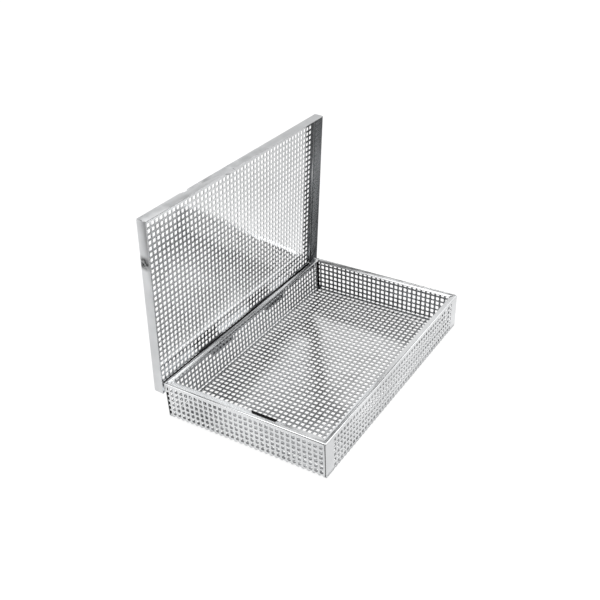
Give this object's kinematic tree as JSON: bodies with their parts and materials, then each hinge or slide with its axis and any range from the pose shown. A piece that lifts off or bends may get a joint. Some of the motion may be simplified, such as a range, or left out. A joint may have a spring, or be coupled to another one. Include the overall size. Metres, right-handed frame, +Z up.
{
  "type": "sterilizing basket",
  "caption": "Shallow rectangular basket of perforated stainless steel sheet with a flat perforated lid hinged along one long side, shown open.",
  "frame": {"origin": "middle of the underside of the basket's base", "axes": "+X along the length, towards the right end; -Y towards the front, +Y towards the hinges; +Z up"},
  "size_m": [0.4, 0.2681, 0.2975],
  "materials": {
    "sheet_steel": "electropolished stainless sheet, nearly mirror bright",
    "hinge_steel": "plain stainless, slightly duller than the sheet",
    "pin_steel": "drawn stainless wire"
  },
  "bodies": {
    "basket": {"basket_shell": "sheet_steel", "hinge_leaf_fixed_left": "hinge_steel", "hinge_leaf_fixed_right": "hinge_steel", "hinge_pin_left": "pin_steel", "hinge_pin_right": "pin_steel"},
    "lid": {"lid_shell": "sheet_steel", "hinge_leaf_moving_left": "hinge_steel", "hinge_leaf_moving_right": "hinge_steel"}
  },
  "joints": [
    {"name": "lid_hinge", "type": "hinge", "parent": "basket", "child": "lid", "pos_m": [0, 0.12775, 0.042], "axis": [1, 0, 0], "range_deg": [0, 85.8]}
  ]
}
